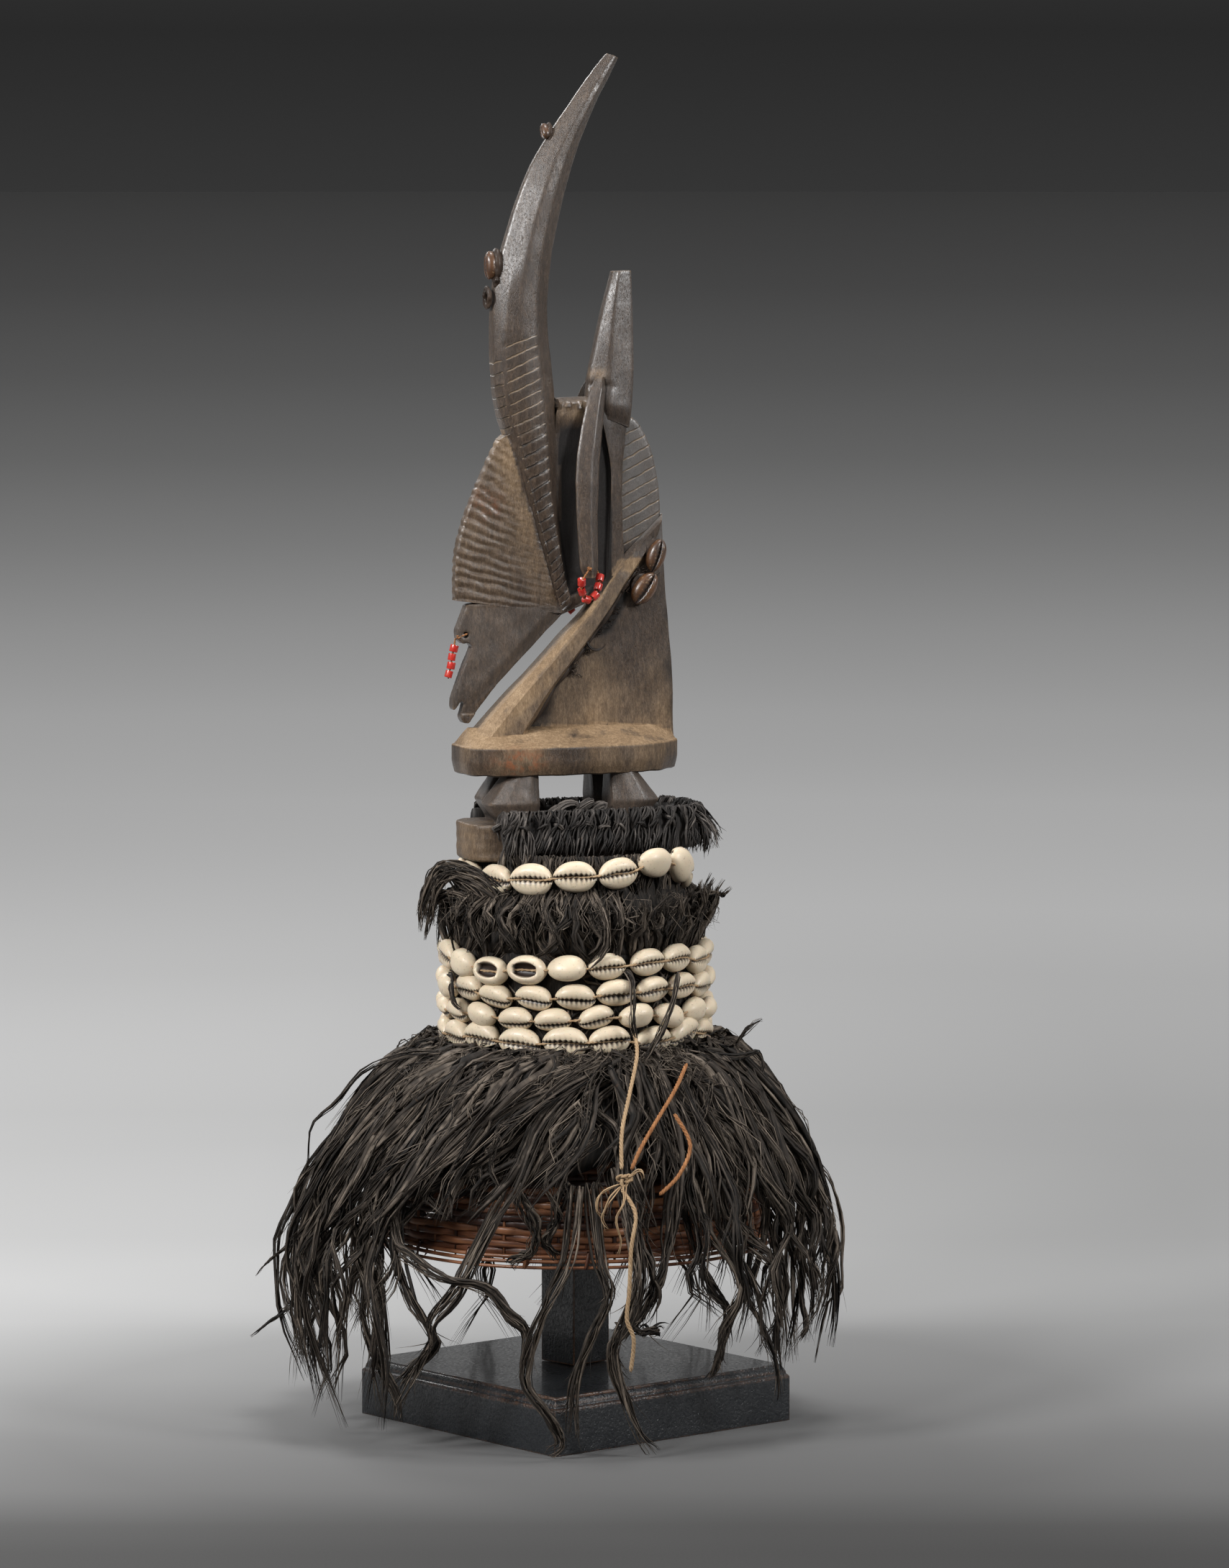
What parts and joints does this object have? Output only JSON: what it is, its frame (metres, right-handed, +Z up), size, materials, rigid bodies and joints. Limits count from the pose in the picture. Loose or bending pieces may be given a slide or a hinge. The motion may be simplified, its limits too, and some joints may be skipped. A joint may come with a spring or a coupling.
{
  "type": "chiwara mask",
  "caption": "Carved antelope headdress on a basketry cap, dressed with knotted fibre, cowrie strings, a fibre skirt and glass beads, on a square display stand.",
  "frame": {"origin": "centre of the stand's underside", "axes": "+Z up, the carved figure's middle plane is the XZ plane, and its head looks along -X"},
  "size_m": [0.275, 0.2782, 0.6695],
  "materials": {
    "carved_wood": "dark patinated, worn to a sheen on the edges",
    "wicker": "reddish brown cane, matt",
    "fibre": "blackened bast fibre, matt",
    "cowrie": "polished shell, ivory",
    "old_cowrie": "stained shell, satin",
    "resin": "blackened resin",
    "red_glass": "opaque red glass, glossy",
    "twine": "plied plant fibre, matt",
    "black_lacquer": "black lacquer, satin with a fine orange-peel surface"
  },
  "bodies": {
    "root": {"carved_figure": "carved_wood", "wicker_cap": "wicker", "fibre_band": "fibre", "fringe_collar": "fibre", "fibre_ruff": "fibre", "fibre_skirt": "fibre", "cowrie_string_1": "cowrie", "cowrie_string_2": "cowrie", "cowrie_string_3": "cowrie", "cowrie_string_4": "cowrie", "cowrie_string_5": "cowrie", "neck_cowrie_upper": "old_cowrie", "neck_cowrie_lower": "old_cowrie", "horn_cowrie": "old_cowrie", "horn_cowrie_small": "old_cowrie", "resin_ring": "resin", "nose_beads": "red_glass", "near_ear_beads": "red_glass", "far_ear_beads": "red_glass", "light_twine": "twine", "light_twine_end": "twine", "tan_twine": "twine", "tan_twine_loop": "twine", "twine_knot": "twine", "stand_base": "black_lacquer", "stand_post": "black_lacquer"}
  },
  "joints": []
}
